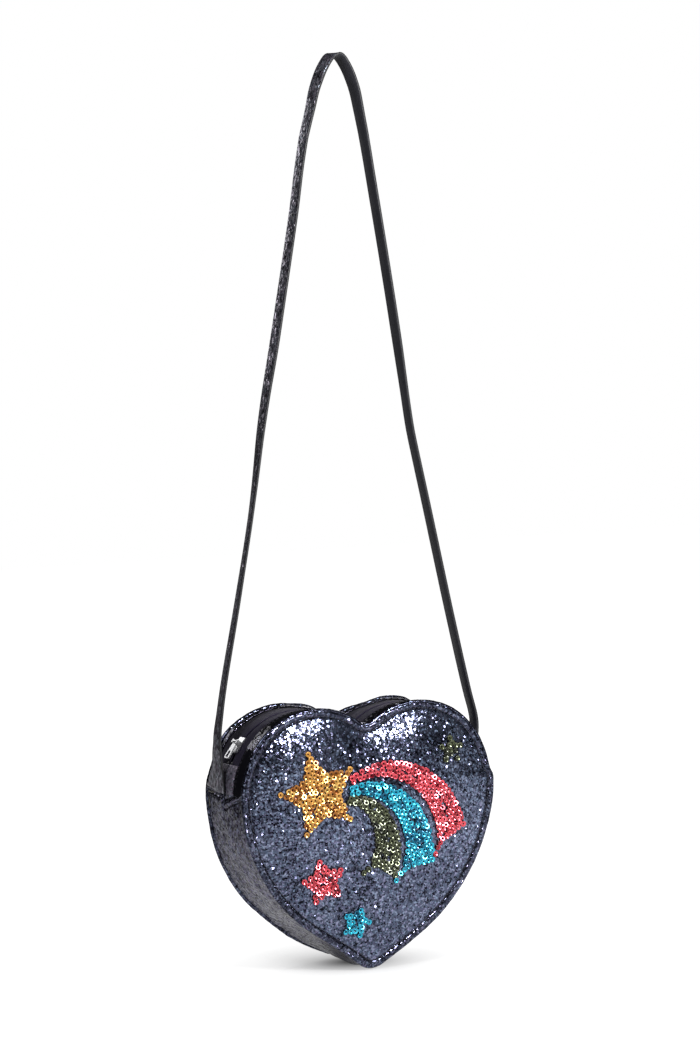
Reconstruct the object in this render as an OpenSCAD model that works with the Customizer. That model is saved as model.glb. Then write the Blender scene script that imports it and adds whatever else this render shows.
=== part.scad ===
/* [Heart body] */
// Width of the heart across both lobes
heart_w = 180; // [150:1:210]
// Depth of the bag between the outer faces of its two panels
heart_d = 58; // [50:1:75]
// Radius of each upper lobe
lobe_r = 53; // [50:0.5:56]
// Height of the lobe centres above the lower tip
lobe_z = 115; // [105:1:130]
// Lean of each side from the vertical where it meets the lower tip
side_lean = 55.7; // [52:0.1:60]
// Radius of the rounded lower tip
tip_r = 14; // [8:0.5:18]
// Radius of the rounded cleft between the lobes
cleft_r = 10; // [6:0.5:14]

/* [Layers] */
// Thickness of the glitter coated sheet
shell_t = 1.2; // [0.9:0.1:1.6]
// Thickness of the foam pad behind each panel
foam_t = 4; // [2:0.5:6]
// Thickness of the stiffener inside the gusset
stiffener_t = 0.9; // [0.6:0.1:1.4]
// Thickness of the lining
lining_t = 0.5; // [0.3:0.1:0.8]
// How far the piping stands out of the heart's outline
piping_proud = 1.2; // [0.8:0.1:1.6]
// Width of the piping along the bag's depth
piping_w = 3; // [2:0.1:4]
// Distance of the topstitched line from the panel's edge
stitch_inset = 4.6; // [3:0.1:7]
// Width of the topstitched line
stitch_w = 0.8; // [0.5:0.1:1.2]
// Depth of the groove that the panels' topstitching lies in
groove_t = 0.5; // [0.3:0.05:0.7]
// How far the strap's stitching stands out of its face
stitch_proud = 0.3; // [0.2:0.05:0.5]

/* [Zip] */
// Distance from the middle of the zip to the front glitter strip
front_strip_gap = 13.5; // [12:0.1:15]
// Distance from the middle of the zip to the rear glitter strip
rear_strip_gap = 20; // [18:0.1:22]
// Distance from the middle of the zip to the front edge of its tape
front_tape_w = 17; // [15.5:0.1:20]
// Distance from the middle of the zip to the rear edge of its tape
rear_tape_w = 23; // [22.5:0.1:26]
// Half of the slit between the two tape halves
tape_slit_half = 1.6; // [1.2:0.1:2]
// Thickness of the zip tape
tape_t = 0.6; // [0.5:0.1:0.9]
// Thickness of the coil under the tape
coil_t = 1.6; // [1.2:0.1:2]
// Width of one coil half
coil_w = 2.15; // [1.8:0.05:2.4]
// Half of the gap between the two coil halves
coil_gap_half = 0.15; // [0.1:0.05:0.3]
// Height of the cross seams above the lobe centres
seam_rise = 3; // [0:0.5:8]
// Direction of the closed slider, seen from the lobe centre
slider_deg = 142; // [138:0.5:145]
// Length of the slider along the zip
slider_length = 11.6; // [10:0.1:12]
// Width of the slider at its shoulders
slider_w = 9.4; // [8.8:0.1:10.5]
// Width of the slider at its tail
slider_tail_w = 7.2; // [6.5:0.1:8]
// Thickness of each slider plate
slider_plate_t = 1.2; // [1:0.1:1.5]
// Clearance between the slider and the zip
slider_clear = 0.4; // [0.3:0.05:0.5]
// Distance from the pull's pivot to its far end
pull_reach = 12.4; // [9:0.1:12.6]
// Width of the pull at its far end
pull_w = 6.4; // [5:0.1:7]
// Width of the pull at its pivot
pull_root_w = 4.2; // [3.8:0.1:5]
// Thickness of the pull
pull_t = 1.1; // [0.9:0.1:1.4]
// Radius of the pivot wire of the bail
bail_r = 0.7; // [0.6:0.05:0.8]

/* [Mouth] */
// Height of the fold line's left end above the lobe centre
fold_rise = 22.5; // [20:0.5:26]
// Depth of the fold line's right end below the cleft
fold_drop = 4; // [3.8:0.1:6]
// Gap between a lip and the rest of the bag
lip_gap = 0.3; // [0.25:0.05:0.5]

/* [Strap] */
// Width of the strap
strap_w = 10; // [8:0.5:14]
// Thickness of the strap's glitter face
strap_face_t = 1; // [0.8:0.1:1.3]
// Thickness of the strap's smooth backing
strap_back_t = 0.8; // [0.6:0.1:1.1]
// Height of the top of the loop above the lower tip
apex_z = 588.9; // [500:0.1:700]
// Height of the bend where the outward leaning foot meets the straight leg, above the foot
bend_rise = 26.7; // [22:0.1:32]
// Radius of the fold at the top of the loop
apex_r = 6.5; // [5:0.5:9]
// Radius of the bend just below the top of the loop
shoulder_r = 55; // [40:1:70]
// Lean of the strap where the shoulder bend meets the top fold
shoulder_lean = 40; // [32:1:50]
// Height of the swing axis above the lobe centres
swing_rise = 21; // [19:0.5:24]
// Gap between the free strap and its sewn ends
swing_gap = 0.35; // [0.3:0.05:0.6]

/* [Sequin motifs] */
// Thickness of the layer of sequins
sequin_t = 0.9; // [0.6:0.1:1.4]
// Inner radius of a star as a share of its outer radius
star_waist_share = 0.5; // [0.4:0.02:0.6]

/* [Hidden] */

front = -1;
rear = 1;
left = -1;
right = 1;
turn = 360;
half_turn = turn / 2;
quarter = turn / 4;

// One named overrun serves all cuts
overrun = heart_w / 4;

// Colours
navy = [0.17, 0.18, 0.27];
navy_dark = [0.08, 0.07, 0.13];
nickel = [0.8, 0.8, 0.82];
smooth_black = [0.1, 0.1, 0.12];

// Heart outline
half_w = heart_w / 2;
half_d = heart_d / 2;
lobe_x = half_w - lobe_r;
cleft_z = lobe_z + sqrt(pow(lobe_r + cleft_r, 2) - pow(lobe_x, 2));
lobe_start_deg = atan2(cleft_z - lobe_z, lobe_x);
heart_h = lobe_z + lobe_r;
// Each side curves from upright beside the lobe centre to its lean at the tip
side_r = ((lobe_z - tip_r) * sin(side_lean) + tip_r - half_w * cos(side_lean)) / (1 - cos(side_lean));
side_x = side_r - half_w;
seam_z = lobe_z + seam_rise;
lobe_steps = 21;
side_steps = 14;
tip_steps = 4;
cleft_steps = 8;

function arc(cx, cz, r, from, to, steps) =
    [for (i = [0 : steps]) let (a = from + (to - from) * i / steps) [cx + r * cos(a), cz + r * sin(a)]];

// Left half of the outline from the cleft round to the tip, moved inwards by inset
function heart_left(inset) = concat(
    arc(0, cleft_z, cleft_r + inset, -quarter, lobe_start_deg - half_turn, cleft_steps),
    [for (i = [1 : lobe_steps])
        arc(-lobe_x, lobe_z, lobe_r - inset, lobe_start_deg, half_turn, lobe_steps)[i]],
    [for (i = [1 : side_steps])
        arc(side_x, lobe_z, side_r - inset, half_turn, half_turn + side_lean, side_steps)[i]],
    arc(0, tip_r, tip_r - inset, half_turn + side_lean, half_turn + quarter, tip_steps));

function mirrored(points) = [for (i = [len(points) - 2 : -1 : 1]) [-points[i][0], points[i][1]]];

// The whole bag hangs below the underside of the strap's top fold
strap_t = strap_face_t + strap_back_t;
hang_z = apex_z - strap_t / 2;
module hung() {
    translate([0, 0, -hang_z]) children();
}

module heart(inset) {
    points = heart_left(inset);
    polygon(concat(points, mirrored(points)));
}

module ring(outer, inner) {
    difference() {
        heart(outer);
        heart(inner);
    }
}

// A flat shape in the heart's plane, as thick as the span from y0 to y1
module slab(y0, y1) {
    translate([0, y1, 0]) rotate([quarter, 0, 0]) linear_extrude(height = y1 - y0) children();
}

// The span from a to b in front of or behind the middle plane
module half_slab(face, a, b) {
    slab(min(face * a, face * b), max(face * a, face * b)) children();
}

// The fold line of the lips runs from the left end of the zip to just below the cleft
cleft_bottom = cleft_z - cleft_r;
fold_left = [-half_w, lobe_z + fold_rise];
fold_right = [0, cleft_bottom - fold_drop];
fold_slope = (fold_right[1] - fold_left[1]) / (fold_right[0] - fold_left[0]);
function fold_at(x) = fold_right[1] + fold_slope * x;

module lip_zone(gap) {
    x0 = -half_w - overrun;
    x1 = -gap / 2;
    top = lobe_z + lobe_r + overrun;
    polygon([[x0, fold_at(x0) + gap], [x1, fold_at(x1) + gap], [x1, top], [x0, top]]);
}

module above(z) {
    translate([-half_w - overrun, z]) square([heart_w + 2 * overrun, lobe_z + lobe_r + overrun]);
}

module below(z) {
    translate([-half_w - overrun, -overrun]) square([heart_w + 2 * overrun, z + overrun]);
}

module lip_part() {
    intersection() {
        children();
        lip_zone(lip_gap);
    }
}

module fixed_part() {
    difference() {
        children();
        lip_zone(0);
    }
}

// Depths of the layers behind each panel, from the outside in
panel_in = half_d - shell_t;
foam_in = panel_in - foam_t;
cover_in = foam_in - lining_t;
foam_inset = shell_t + stiffener_t;
lining_inset = foam_inset + lining_t;

module panel_solid(face) {
    difference() {
        half_slab(face, panel_in, half_d) children();
        half_slab(face, half_d - groove_t, half_d + overrun) stitch_line();
    }
}
module foam_solid(face) { half_slab(face, foam_in, panel_in) children(); }
module cover_solid(face) { half_slab(face, cover_in, foam_in) children(); }
module piping_solid(face) { half_slab(face, half_d - piping_w, half_d) children(); }
module stitch_solid(face) { half_slab(face, half_d - groove_t, half_d) children(); }
module strip_solid(face) {
    half_slab(face, face == front ? front_strip_gap : rear_strip_gap, panel_in) children();
}
module tape_solid(face) {
    half_slab(face, tape_slit_half, face == front ? front_tape_w : rear_tape_w) children();
}
module coil_solid(face) { half_slab(face, coil_gap_half, coil_gap_half + coil_w) children(); }

tape_in = shell_t + tape_t;
coil_in = tape_in + coil_t;

module stitch_line() { ring(stitch_inset, stitch_inset + stitch_w); }
module piping_line() { ring(-piping_proud, 0); }
module strip_line() { ring(0, shell_t); }
module tape_line() { ring(shell_t, tape_in); }

// The coil starts inside the slider, so the span beside its post and behind it stays open
post_deg = 3.2;
coil_start_deg = slider_deg + 1;
coil_end_deg = 24;
coil_right_rise = lobe_r * sin(coil_end_deg);
module coil_line() {
    intersection() {
        ring(tape_in, coil_in);
        polygon([
            [-lobe_x, lobe_z],
            [-lobe_x + heart_w * cos(coil_start_deg), lobe_z + heart_w * sin(coil_start_deg)],
            [-lobe_x, lobe_z + heart_w],
            [half_w, lobe_z + heart_w],
            [half_w, lobe_z + coil_right_rise]
        ]);
    }
}

// Panels, foam and lining
module front_panel() { color(navy) hung() panel_solid(front) fixed_part() heart(0); }
module back_panel() { color(navy) hung() panel_solid(rear) fixed_part() heart(0); }
module front_foam() { color("lightyellow") hung() foam_solid(front) fixed_part() heart(foam_inset); }
module back_foam() { color("lightyellow") hung() foam_solid(rear) fixed_part() heart(foam_inset); }
module front_lining() { color("dimgray") hung() cover_solid(front) fixed_part() heart(foam_inset); }
module back_lining() { color("dimgray") hung() cover_solid(rear) fixed_part() heart(foam_inset); }

// Gusset below the cross seams, with its stiffener, and the lining all round
module lower_gusset() {
    color(navy) hung() slab(-panel_in, panel_in) intersection() {
        ring(0, shell_t);
        below(seam_z);
    }
}
module gusset_stiffener() {
    color("gray") hung() slab(-panel_in, panel_in) intersection() {
        ring(shell_t, foam_inset);
        below(seam_z);
    }
}
module gusset_lining() {
    color("dimgray") hung() slab(-cover_in, cover_in) intersection() {
        ring(foam_inset, lining_inset);
        below(seam_z);
    }
}

// Piping and topstitching
module front_piping() { color(navy) hung() piping_solid(front) fixed_part() piping_line(); }
module back_piping() { color(navy) hung() piping_solid(rear) fixed_part() piping_line(); }
module front_topstitch() { color(navy_dark) hung() stitch_solid(front) fixed_part() stitch_line(); }
module back_topstitch() { color(navy_dark) hung() stitch_solid(rear) fixed_part() stitch_line(); }

// Zip strips, tapes and coils that stay with the bag
module fixed_above_seam() {
    intersection() {
        fixed_part() children();
        above(seam_z);
    }
}
module front_zip_strip() { color(navy) hung() strip_solid(front) fixed_above_seam() strip_line(); }
module rear_zip_strip() { color(navy) hung() strip_solid(rear) fixed_above_seam() strip_line(); }
module front_zip_tape() { color(navy_dark) hung() tape_solid(front) fixed_above_seam() tape_line(); }
module rear_zip_tape() { color(navy_dark) hung() tape_solid(rear) fixed_above_seam() tape_line(); }
module front_zip_coil() { color(navy_dark) hung() coil_solid(front) fixed_part() coil_line(); }
module rear_zip_coil() { color(navy_dark) hung() coil_solid(rear) fixed_part() coil_line(); }

// A short piece of the space round a lobe, from one direction to another
module sector(side, from, to) {
    polygon(concat([[side * lobe_x, lobe_z]],
        [for (a = [from, (from + to) / 2, to])
            [side * (lobe_x + heart_w * cos(a)), lobe_z + heart_w * sin(a)]]));
}

// Two crimps on the tape edges beside the closed slider, and one across both at the far end
stop_deg = 22.6;
stop_span_deg = 2.6;
stop_w = 1.9;
stop_t = 0.9;
module top_stops() {
    color(nickel) hung() for (face = [front, rear])
        half_slab(face, tape_slit_half, tape_slit_half + stop_w) intersection() {
            ring(shell_t - stop_t, shell_t);
            sector(left, stop_deg, stop_deg + stop_span_deg);
        }
}
module bottom_stop() {
    color(nickel) hung() slab(-tape_slit_half - stop_w, tape_slit_half + stop_w) intersection() {
        ring(shell_t - stop_t, shell_t);
        sector(right, stop_deg - stop_span_deg, stop_deg);
    }
}

// Glitter tabs over the two ends of the zip, as wide as fits between the strips
tab_clear = 0.5;
tab_half_w = front_strip_gap - tab_clear;
tab_t = 0.8;
tab_deg = 18;
module zip_tab(side) {
    color(navy) hung() slab(-tab_half_w, tab_half_w) intersection() {
        ring(-tab_t, shell_t);
        sector(side, 0, tab_deg);
        above(seam_z);
    }
}
module left_zip_tab() { zip_tab(left); }
module right_zip_tab() { zip_tab(right); }

// Puckered cross seams: straight towards the rear, and dipping to a point before the front
seam_proud = 1;
seam_half_h = 0.8;
pucker_drop = 11;
pucker_y = 3;
module seam_band(y0, z0, y1, z1) {
    polygon([[y0, z0 - seam_half_h], [y1, z1 - seam_half_h], [y1, z1 + seam_half_h], [y0, z0 + seam_half_h]]);
}
module cross_seam(side) {
    edge = panel_in - piping_w;
    low = seam_z - seam_half_h;
    color(navy_dark) hung() intersection() {
        slab(-half_d, half_d) ring(-seam_proud, 0);
        translate([side * (half_w + overrun), 0, 0]) rotate([quarter, 0, -side * quarter])
            linear_extrude(height = 2 * overrun) scale_side(side) {
                seam_band(-edge, low, -pucker_y, low);
                seam_band(-pucker_y, low, 0, low - pucker_drop);
                seam_band(0, low - pucker_drop, edge, low - pucker_drop / 2);
            }
    }
}
module scale_side(side) {
    if (side < 0) mirror([1, 0, 0]) children();
    else children();
}
module left_cross_seam() { cross_seam(left); }
module right_cross_seam() { cross_seam(right); }

// Strap, drawn as a centre line in the heart's plane from the foot up to the top of the loop
foot_x = half_w + tab_t + lip_gap + strap_t / 2;
foot_z = seam_z + seam_half_h;
fold_z = apex_z - apex_r;
shoulder_x = (apex_r - shoulder_r) * cos(shoulder_lean);
shoulder_z = fold_z + (apex_r - shoulder_r) * sin(shoulder_lean);
foot_lean = 6;
foot_bend_r = 60;
// The straight leg runs from the bend to where it touches the shoulder's circle
foot_start = foot_z + swing_rise / 3;
corner_x = foot_x + bend_rise * tan(foot_lean);
corner_z = foot_start + bend_rise;
leg_span = [corner_x - shoulder_x, corner_z - shoulder_z];
leg_lean = atan2(leg_span[1], leg_span[0]) + acos(shoulder_r / norm(leg_span));
bend_back = foot_bend_r * tan((leg_lean + foot_lean) / 2);
bend_cx = corner_x - bend_back * sin(foot_lean) - foot_bend_r * cos(foot_lean);
bend_cz = corner_z - bend_back * cos(foot_lean) + foot_bend_r * sin(foot_lean);
apex_steps = 5;
shoulder_steps = 6;
bend_steps = 5;

// Points and outward normals of the right leg, from the foot to the top
function strap_run() = concat(
    [[foot_x, foot_z, 0], [foot_x, foot_start, -foot_lean / 2]],
    [for (i = [0 : bend_steps]) let (a = -foot_lean + (leg_lean + foot_lean) * i / bend_steps)
        [bend_cx + foot_bend_r * cos(a), bend_cz + foot_bend_r * sin(a), a]],
    [for (i = [0 : shoulder_steps]) let (a = leg_lean + (shoulder_lean - leg_lean) * i / shoulder_steps)
        [shoulder_x + shoulder_r * cos(a), shoulder_z + shoulder_r * sin(a), a]],
    [for (i = [1 : apex_steps]) let (a = shoulder_lean + (quarter - shoulder_lean) * i / apex_steps)
        [apex_r * cos(a), fold_z + apex_r * sin(a), a]]);

function strap_side(offset_out) =
    [for (p = strap_run()) [p[0] + offset_out * cos(p[2]), p[1] + offset_out * sin(p[2])]];

function backwards(points) = [for (i = [len(points) - 1 : -1 : 0]) points[i]];
function left_side(points) = [for (i = [len(points) - 2 : -1 : 0]) [-points[i][0], points[i][1]]];

module strap_layer(inner, outer) {
    a = strap_side(outer);
    b = strap_side(inner);
    polygon(concat(a, left_side(a), backwards(concat(b, left_side(b)))));
}

swing_z = lobe_z + swing_rise;
end_r = strap_w / 2;
sewn_top = swing_z - end_r - swing_gap;

// The free strap ends in a half disc round the swing axis
span_w = heart_w + 2 * overrun;
module free_strap(inner, outer, width) {
    difference() {
        slab(-width / 2, width / 2) strap_layer(inner, outer);
        translate([-span_w / 2, -width, -overrun]) cube([span_w, 2 * width, swing_z + overrun]);
    }
    intersection() {
        slab(-width / 2, width / 2) strap_layer(inner, outer);
        translate([-span_w / 2, 0, swing_z]) rotate([0, quarter, 0])
            cylinder(h = span_w, r = width / 2, $fn = 64);
        translate([-span_w / 2, -width, swing_z - width]) cube([span_w, 2 * width, width]);
    }
}
module strap_face() {
    color(navy) hung() free_strap(strap_t / 2 - strap_face_t, strap_t / 2, strap_w);
}
module strap_backing() {
    color(smooth_black) hung() free_strap(-strap_t / 2, strap_t / 2 - strap_face_t, strap_w);
}
// Two rows of stitching on the strap's face, with the edges of the face beyond them
strap_stitch_w = 0.5;
strap_stitch_in = 1.2;
module strap_stitching() {
    color(navy_dark) hung() intersection() {
        slab(-end_r, end_r) strap_layer(strap_t / 2, strap_t / 2 + stitch_proud);
        for (face = [front, rear])
            translate([-span_w / 2, face * (end_r - strap_stitch_in) - strap_stitch_w / 2, swing_z])
                cube([span_w, strap_stitch_w, apex_z]);
    }
}
module strap_end(side) {
    color(navy) hung() intersection() {
        slab(-end_r, end_r) strap_layer(-strap_t / 2, strap_t / 2);
        translate([side > 0 ? 0 : -span_w / 2, -strap_w, 0]) cube([span_w / 2, 2 * strap_w, sewn_top]);
    }
}
module left_strap_end() { strap_end(left); }
module right_strap_end() { strap_end(right); }

// Sequin motifs: heights as shares of the heart's height, all else as shares of its width
// Stars: across, up, outer radius; then the turn of the first point in degrees
gold_star_shares = [-0.217, 0.687, 0.158];
gold_star_deg = 104;
red_star_shares = [-0.208, 0.35, 0.088];
red_star_deg = 103;
turquoise_star_shares = [-0.08, 0.178, 0.062];
turquoise_star_deg = 72;
green_star_shares = [0.326, 0.811, 0.05];
green_star_deg = 90;
// Arcs: centre across and up, first and last radius, first and last width
// Then their first end, the ends of their outer and inner edge, and the notch between
red_arc_shares = [0.017, 0.474, 0.259, 0.298, 0.024, 0.124];
red_arc_deg = [114, 6, -16, -2];
turquoise_arc_shares = [-0.086, 0.48, 0.194, 0.2715, 0.03, 0.125];
turquoise_arc_deg = [93, -15, -43, -24];
green_arc_shares = [-0.153, 0.533, 0.1246, 0.2317, 0.025, 0.122];
green_arc_deg = [67, -38, -59, -41];
star_points = 5;
arc_motif_steps = 12;

module sequin_layer() { half_slab(front, half_d, half_d + sequin_t) children(); }
module star(shares, first) {
    r = shares[2] * heart_w;
    polygon([for (i = [0 : 2 * star_points - 1]) let (
            a = first + i * half_turn / star_points,
            reach = i % 2 == 0 ? r : r * star_waist_share)
        [shares[0] * heart_w + reach * cos(a), shares[1] * heart_h + reach * sin(a)]]);
}
// A band that widens from its first end to its last, which slants and has a shallow notch
notch_share = 0.55;
module tail(shares, span) {
    function along(a, out) = let (
            k = (a - span[0]) / (span[1] - span[0]),
            r = shares[2] + (shares[3] - shares[2]) * k + out * (shares[4] + (shares[5] - shares[4]) * k) / 2)
        [(shares[0] + r * cos(a)) * heart_w, shares[1] * heart_h + r * sin(a) * heart_w];
    function on_way(i, last) = span[0] + (last - span[0]) * i / arc_motif_steps;
    polygon(concat(
        [for (i = [0 : arc_motif_steps]) along(on_way(i, span[1]), 1)],
        [along(span[3], -notch_share)],
        [for (i = [arc_motif_steps : -1 : 0]) along(on_way(i, span[2]), -1)]));
}
module gold_star() { color("goldenrod") hung() sequin_layer() star(gold_star_shares, gold_star_deg); }
module red_star() { color("crimson") hung() sequin_layer() star(red_star_shares, red_star_deg); }
module turquoise_star() {
    color("deepskyblue") hung() sequin_layer() star(turquoise_star_shares, turquoise_star_deg);
}
module green_star() { color("darkolivegreen") hung() sequin_layer() star(green_star_shares, green_star_deg); }
module red_arc() { color("crimson") hung() sequin_layer() tail(red_arc_shares, red_arc_deg); }
module turquoise_arc() {
    color("deepskyblue") hung() sequin_layer() tail(turquoise_arc_shares, turquoise_arc_deg);
}
module green_arc() { color("darkolivegreen") hung() sequin_layer() tail(green_arc_shares, green_arc_deg); }

// The lips: the part of each side above the fold line, which turns out when the zip is open
module lip_panel(face) { color(navy) hung() panel_solid(face) lip_part() heart(0); }
module lip_foam(face) { color("lightyellow") hung() foam_solid(face) lip_part() heart(foam_inset); }
module lip_lining(face) { color("dimgray") hung() cover_solid(face) lip_part() heart(foam_inset); }
module lip_piping(face) { color(navy) hung() piping_solid(face) lip_part() piping_line(); }
module lip_topstitch(face) { color(navy_dark) hung() stitch_solid(face) lip_part() stitch_line(); }
module lip_strip(face) { color(navy) hung() strip_solid(face) lip_part() strip_line(); }
module lip_tape(face) { color(navy_dark) hung() tape_solid(face) lip_part() tape_line(); }
module lip_coil(face) { color(navy_dark) hung() coil_solid(face) lip_part() coil_line(); }
module front_lip_panel() { lip_panel(front); }
module front_lip_foam() { lip_foam(front); }
module front_lip_lining() { lip_lining(front); }
module front_lip_piping() { lip_piping(front); }
module front_lip_topstitch() { lip_topstitch(front); }
module front_lip_strip() { lip_strip(front); }
module front_lip_tape() { lip_tape(front); }
module front_lip_coil() { lip_coil(front); }
module rear_lip_panel() { lip_panel(rear); }
module rear_lip_foam() { lip_foam(rear); }
module rear_lip_lining() { lip_lining(rear); }
module rear_lip_piping() { lip_piping(rear); }
module rear_lip_topstitch() { lip_topstitch(rear); }
module rear_lip_strip() { lip_strip(rear); }
module rear_lip_tape() { lip_tape(rear); }
module rear_lip_coil() { lip_coil(rear); }

// Slider: two plates curved round the lobe's axis, a post between them, and side walls on the lower one
tape_out_r = lobe_r - shell_t;
plate_in_r = tape_out_r + slider_clear;
plate_out_r = plate_in_r + slider_plate_t;
base_out_r = lobe_r - coil_in - slider_clear;
base_in_r = base_out_r - slider_plate_t;
wall_out_r = lobe_r - tape_in - slider_clear;
wall_in_y = coil_gap_half + coil_w + slider_clear;
half_slider_deg = slider_length / 2 / lobe_r * half_turn / PI;
post_w = 1.8;
post_length = 2.4;

// Puts its children at the closed slider, with x along the zip towards its left end and z outwards
module at_slider() {
    translate([-lobe_x, 0, lobe_z]) rotate([0, quarter - slider_deg, 0]) mirror([1, 0, 0]) children();
}
module shell_round(inner, outer, width) {
    rotate([quarter, 0, 0]) difference() {
        cylinder(h = width, r = outer, center = true, $fn = 96);
        cylinder(h = width + overrun, r = inner, center = true, $fn = 96);
    }
}
module slider_outline() {
    linear_extrude(height = lobe_r + overrun) polygon([
        [-slider_length / 2, -slider_tail_w / 2], [0, -slider_tail_w / 2],
        [slider_length / 3, -slider_w / 2], [slider_length / 2, -slider_w / 3],
        [slider_length / 2, slider_w / 3], [slider_length / 3, slider_w / 2],
        [0, slider_tail_w / 2], [-slider_length / 2, slider_tail_w / 2]
    ]);
}
module slider_body() {
    color(nickel) hung() at_slider() {
        intersection() {
            union() {
                shell_round(plate_in_r, plate_out_r, slider_w);
                shell_round(base_in_r, base_out_r, slider_w);
                for (face = [front, rear]) translate([0, face * (slider_w / 2 + wall_in_y) / 2, 0])
                    shell_round(base_in_r, wall_out_r, slider_w / 2 - wall_in_y);
            }
            slider_outline();
        }
        intersection() {
            shell_round(base_out_r, plate_in_r, post_w);
            translate([post_deg / half_turn * PI * lobe_r - post_length / 2, -post_w, 0])
                cube([post_length, 2 * post_w, lobe_r + overrun]);
        }
    }
}

// Bail: a low arch on the upper plate, whose cross wire carries the pull
bail_x = -0.8;
bail_rise = 1.3;
bail_foot_length = 2.6;
bail_foot_w = 1;
pull_hole_clear = 0.08;
pull_side_clear = 0.35;
pivot_r = plate_out_r + bail_rise + bail_r;
bail_half_w = pull_root_w / 2 + pull_side_clear + bail_foot_w;
module slider_bail() {
    color(nickel) hung() at_slider() {
        difference() {
            for (face = [front, rear]) translate([
                bail_x - bail_foot_length / 2,
                face * (bail_half_w - bail_foot_w / 2) - bail_foot_w / 2,
                plate_in_r
            ]) cube([bail_foot_length, bail_foot_w, pivot_r + bail_r * 2 - plate_in_r]);
            rotate([quarter, 0, 0]) cylinder(h = slider_w * 2, r = plate_out_r, center = true, $fn = 96);
        }
        translate([bail_x, 0, pivot_r]) rotate([quarter, 0, 0])
            cylinder(h = 2 * bail_half_w, r = bail_r, center = true, $fn = 32);
    }
}

// Pull: a flat tongue with a window, lying along the zip towards its left end
pull_lay = 2;
pull_eye_r = bail_r + pull_hole_clear + 0.75 * pull_t;
pull_window_w_share = 0.45;
pull_window_share = 0.38;
pull_corner_r = pull_w / 4;
pull_window_x = pull_reach * (1 - pull_window_share) - pull_corner_r / 2;
module pull_tab() {
    color(nickel) hung() at_slider() translate([bail_x, 0, pivot_r]) rotate([0, pull_lay, 0]) difference() {
        union() {
            translate([0, 0, -pull_t / 2]) linear_extrude(height = pull_t) difference() {
                union() {
                    polygon([[0, -pull_root_w / 2], [pull_reach - pull_corner_r, -pull_w / 2],
                        [pull_reach - pull_corner_r, pull_w / 2], [0, pull_root_w / 2]]);
                    translate([pull_reach - pull_corner_r, -pull_w / 2 + pull_corner_r])
                        square([pull_corner_r, pull_w - 2 * pull_corner_r]);
                    for (face = [front, rear])
                        translate([pull_reach - pull_corner_r, face * (pull_w / 2 - pull_corner_r)])
                            circle(r = pull_corner_r, $fn = 32);
                }
                translate([pull_window_x, -pull_w * pull_window_w_share / 2])
                    square([pull_reach * pull_window_share, pull_w * pull_window_w_share]);
            }
            rotate([quarter, 0, 0]) cylinder(h = pull_root_w, r = pull_eye_r, center = true, $fn = 32);
        }
        rotate([quarter, 0, 0])
            cylinder(h = pull_root_w * 2, r = bail_r + pull_hole_clear, center = true, $fn = 32);
    }
}

front_panel();
back_panel();
front_foam();
back_foam();
front_lining();
back_lining();
lower_gusset();
gusset_stiffener();
gusset_lining();
front_piping();
back_piping();
front_topstitch();
back_topstitch();
front_zip_strip();
rear_zip_strip();
front_zip_tape();
rear_zip_tape();
front_zip_coil();
rear_zip_coil();
top_stops();
bottom_stop();
left_zip_tab();
right_zip_tab();
left_cross_seam();
right_cross_seam();
left_strap_end();
right_strap_end();
gold_star();
red_arc();
turquoise_arc();
green_arc();
red_star();
turquoise_star();
green_star();
front_lip_panel();
front_lip_foam();
front_lip_lining();
front_lip_piping();
front_lip_topstitch();
front_lip_strip();
front_lip_tape();
front_lip_coil();
rear_lip_panel();
rear_lip_foam();
rear_lip_lining();
rear_lip_piping();
rear_lip_topstitch();
rear_lip_strip();
rear_lip_tape();
rear_lip_coil();
slider_body();
slider_bail();
pull_tab();
strap_face();
strap_backing();
strap_stitching();
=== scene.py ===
from math import acos, atan2, cos, exp, hypot, log, pi, radians, sin, sqrt, tan, tau

import bmesh
import bpy
import numpy as np
from mathutils import Matrix, Vector
from mathutils.bvhtree import BVHTree
from numpy.linalg import norm


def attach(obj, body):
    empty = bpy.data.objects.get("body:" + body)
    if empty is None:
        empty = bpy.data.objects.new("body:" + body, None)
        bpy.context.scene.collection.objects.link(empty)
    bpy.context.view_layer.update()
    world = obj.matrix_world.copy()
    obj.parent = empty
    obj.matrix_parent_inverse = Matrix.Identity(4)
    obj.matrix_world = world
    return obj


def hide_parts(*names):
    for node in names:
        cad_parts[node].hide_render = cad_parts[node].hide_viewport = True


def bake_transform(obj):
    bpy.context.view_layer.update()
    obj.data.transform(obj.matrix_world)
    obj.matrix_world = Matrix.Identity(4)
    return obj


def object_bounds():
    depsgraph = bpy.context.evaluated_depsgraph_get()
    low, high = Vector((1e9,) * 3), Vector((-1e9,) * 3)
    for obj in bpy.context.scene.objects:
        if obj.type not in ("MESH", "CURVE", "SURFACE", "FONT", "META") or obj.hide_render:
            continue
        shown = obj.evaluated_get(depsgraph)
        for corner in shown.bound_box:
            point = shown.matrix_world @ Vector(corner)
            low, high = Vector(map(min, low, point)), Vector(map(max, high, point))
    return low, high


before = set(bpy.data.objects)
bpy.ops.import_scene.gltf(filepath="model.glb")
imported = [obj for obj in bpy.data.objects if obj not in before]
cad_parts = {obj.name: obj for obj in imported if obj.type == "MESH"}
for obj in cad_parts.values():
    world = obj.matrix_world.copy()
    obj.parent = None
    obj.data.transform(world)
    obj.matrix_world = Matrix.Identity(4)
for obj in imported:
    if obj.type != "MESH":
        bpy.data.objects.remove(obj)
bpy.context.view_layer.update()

MM = 0.001
scene = bpy.context.scene
rng = np.random.default_rng(11)

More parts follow.
